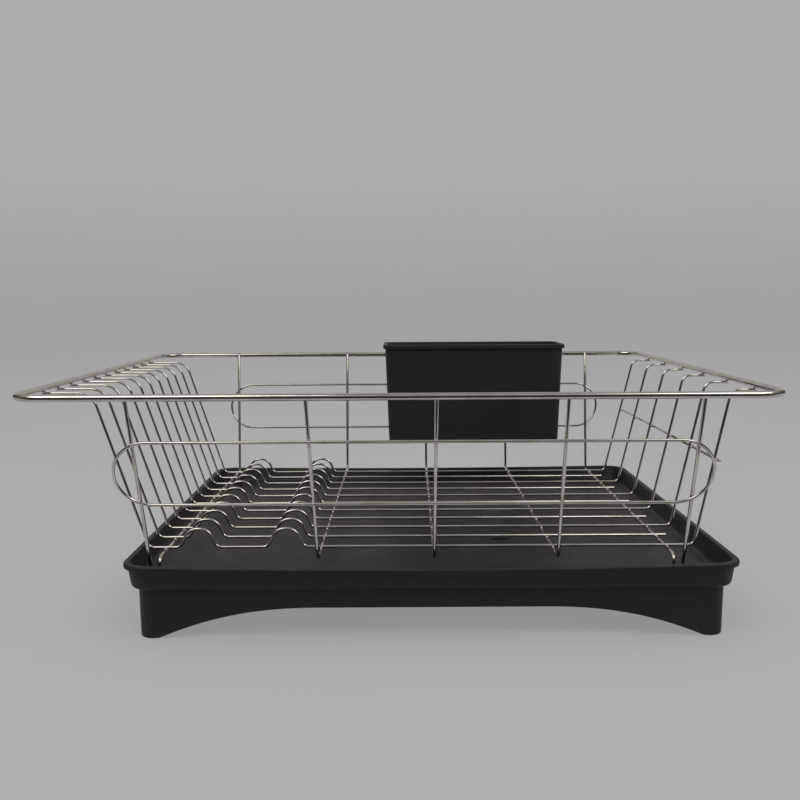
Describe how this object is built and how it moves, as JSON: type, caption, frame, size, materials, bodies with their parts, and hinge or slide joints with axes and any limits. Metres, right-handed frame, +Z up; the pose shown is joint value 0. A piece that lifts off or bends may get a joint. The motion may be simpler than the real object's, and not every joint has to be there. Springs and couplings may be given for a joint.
{
  "type": "dish drying rack",
  "caption": "Chrome wire dish basket with a flared rim and plate humps, standing in a black plastic drain tray, with a black utensil holder hooked on the back rim.",
  "frame": {"origin": "on the counter, under the middle of the top rim", "axes": "+Z up, +X to the right as seen from the front, +Y from the front to the back rim, where the holder hangs"},
  "size_m": [0.474, 0.365, 0.1765],
  "materials": {
    "chrome_wire": "bright plated, slightly uneven",
    "tray_plastic": "satin moulded black",
    "holder_plastic": "satin moulded black"
  },
  "bodies": {
    "tray": {"drain_tray": "tray_plastic"},
    "basket": {"top_rim": "chrome_wire", "front_loop": "chrome_wire", "back_loop": "chrome_wire", "left_end_frame": "chrome_wire", "cross_frame_left": "chrome_wire", "cross_frame_middle": "chrome_wire", "cross_frame_right": "chrome_wire", "right_end_frame": "chrome_wire", "right_side_rail": "chrome_wire", "plate_wire_01": "chrome_wire", "plate_wire_02": "chrome_wire", "plate_wire_03": "chrome_wire", "plate_wire_04": "chrome_wire", "plate_wire_05": "chrome_wire", "plate_wire_06": "chrome_wire", "plate_wire_07": "chrome_wire", "plate_wire_08": "chrome_wire", "plate_wire_09": "chrome_wire", "plate_wire_10": "chrome_wire", "plate_wire_11": "chrome_wire"},
    "holder": {"utensil_holder": "holder_plastic"}
  },
  "joints": [
    {"name": "basket_lift", "type": "slide", "parent": "tray", "child": "basket", "axis": [0, 0, 1], "range_m": [0, 0.12]},
    {"name": "holder_lift", "type": "slide", "parent": "basket", "child": "holder", "axis": [0, 0, 1], "range_m": [0, 0.11]}
  ]
}
